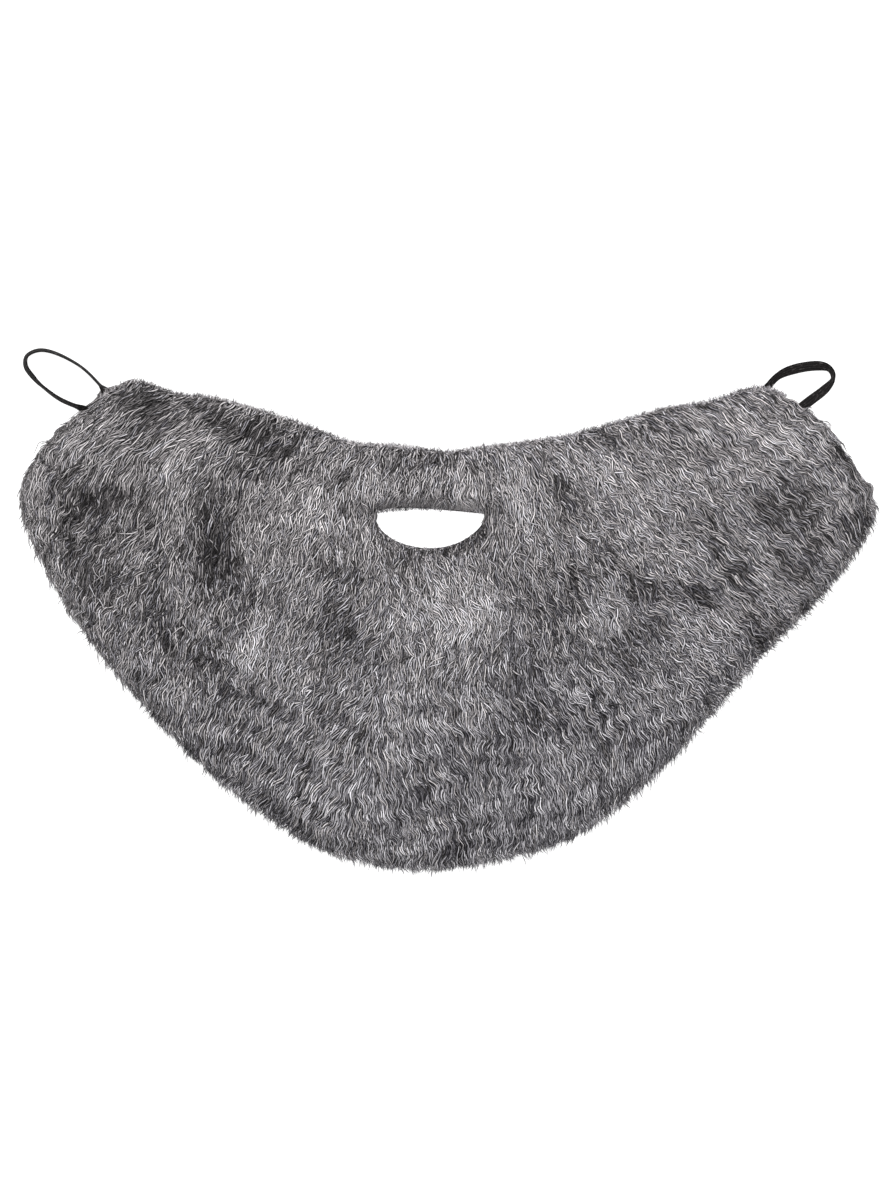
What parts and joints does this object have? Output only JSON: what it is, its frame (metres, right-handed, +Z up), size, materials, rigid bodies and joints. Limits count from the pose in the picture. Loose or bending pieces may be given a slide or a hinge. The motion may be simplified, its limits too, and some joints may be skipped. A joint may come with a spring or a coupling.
{
  "type": "fake beard",
  "caption": "Crescent-shaped full false beard of deep crimped grey fur cloth with a half-moon mouth slot and an elastic ear loop at either top corner, lying face up.",
  "frame": {"origin": "middle of the underside of the whole beard, on the surface it lies on", "axes": "+X to the right across the face side, +Y from the chin up to the moustache, +Z up out of the pile"},
  "size_m": [0.4338, 0.2652, 0.0135],
  "materials": {
    "grey_fur": "crimped salt-and-pepper pile, near-black, mid-grey and pale fibres mixed, on a dark knitted backing",
    "black_elastic": "flat braided elastic with fine ribs along its length"
  },
  "bodies": {
    "root": {"fur_panel": "grey_fur", "ear_loop_left": "black_elastic", "ear_loop_right": "black_elastic"}
  },
  "joints": []
}
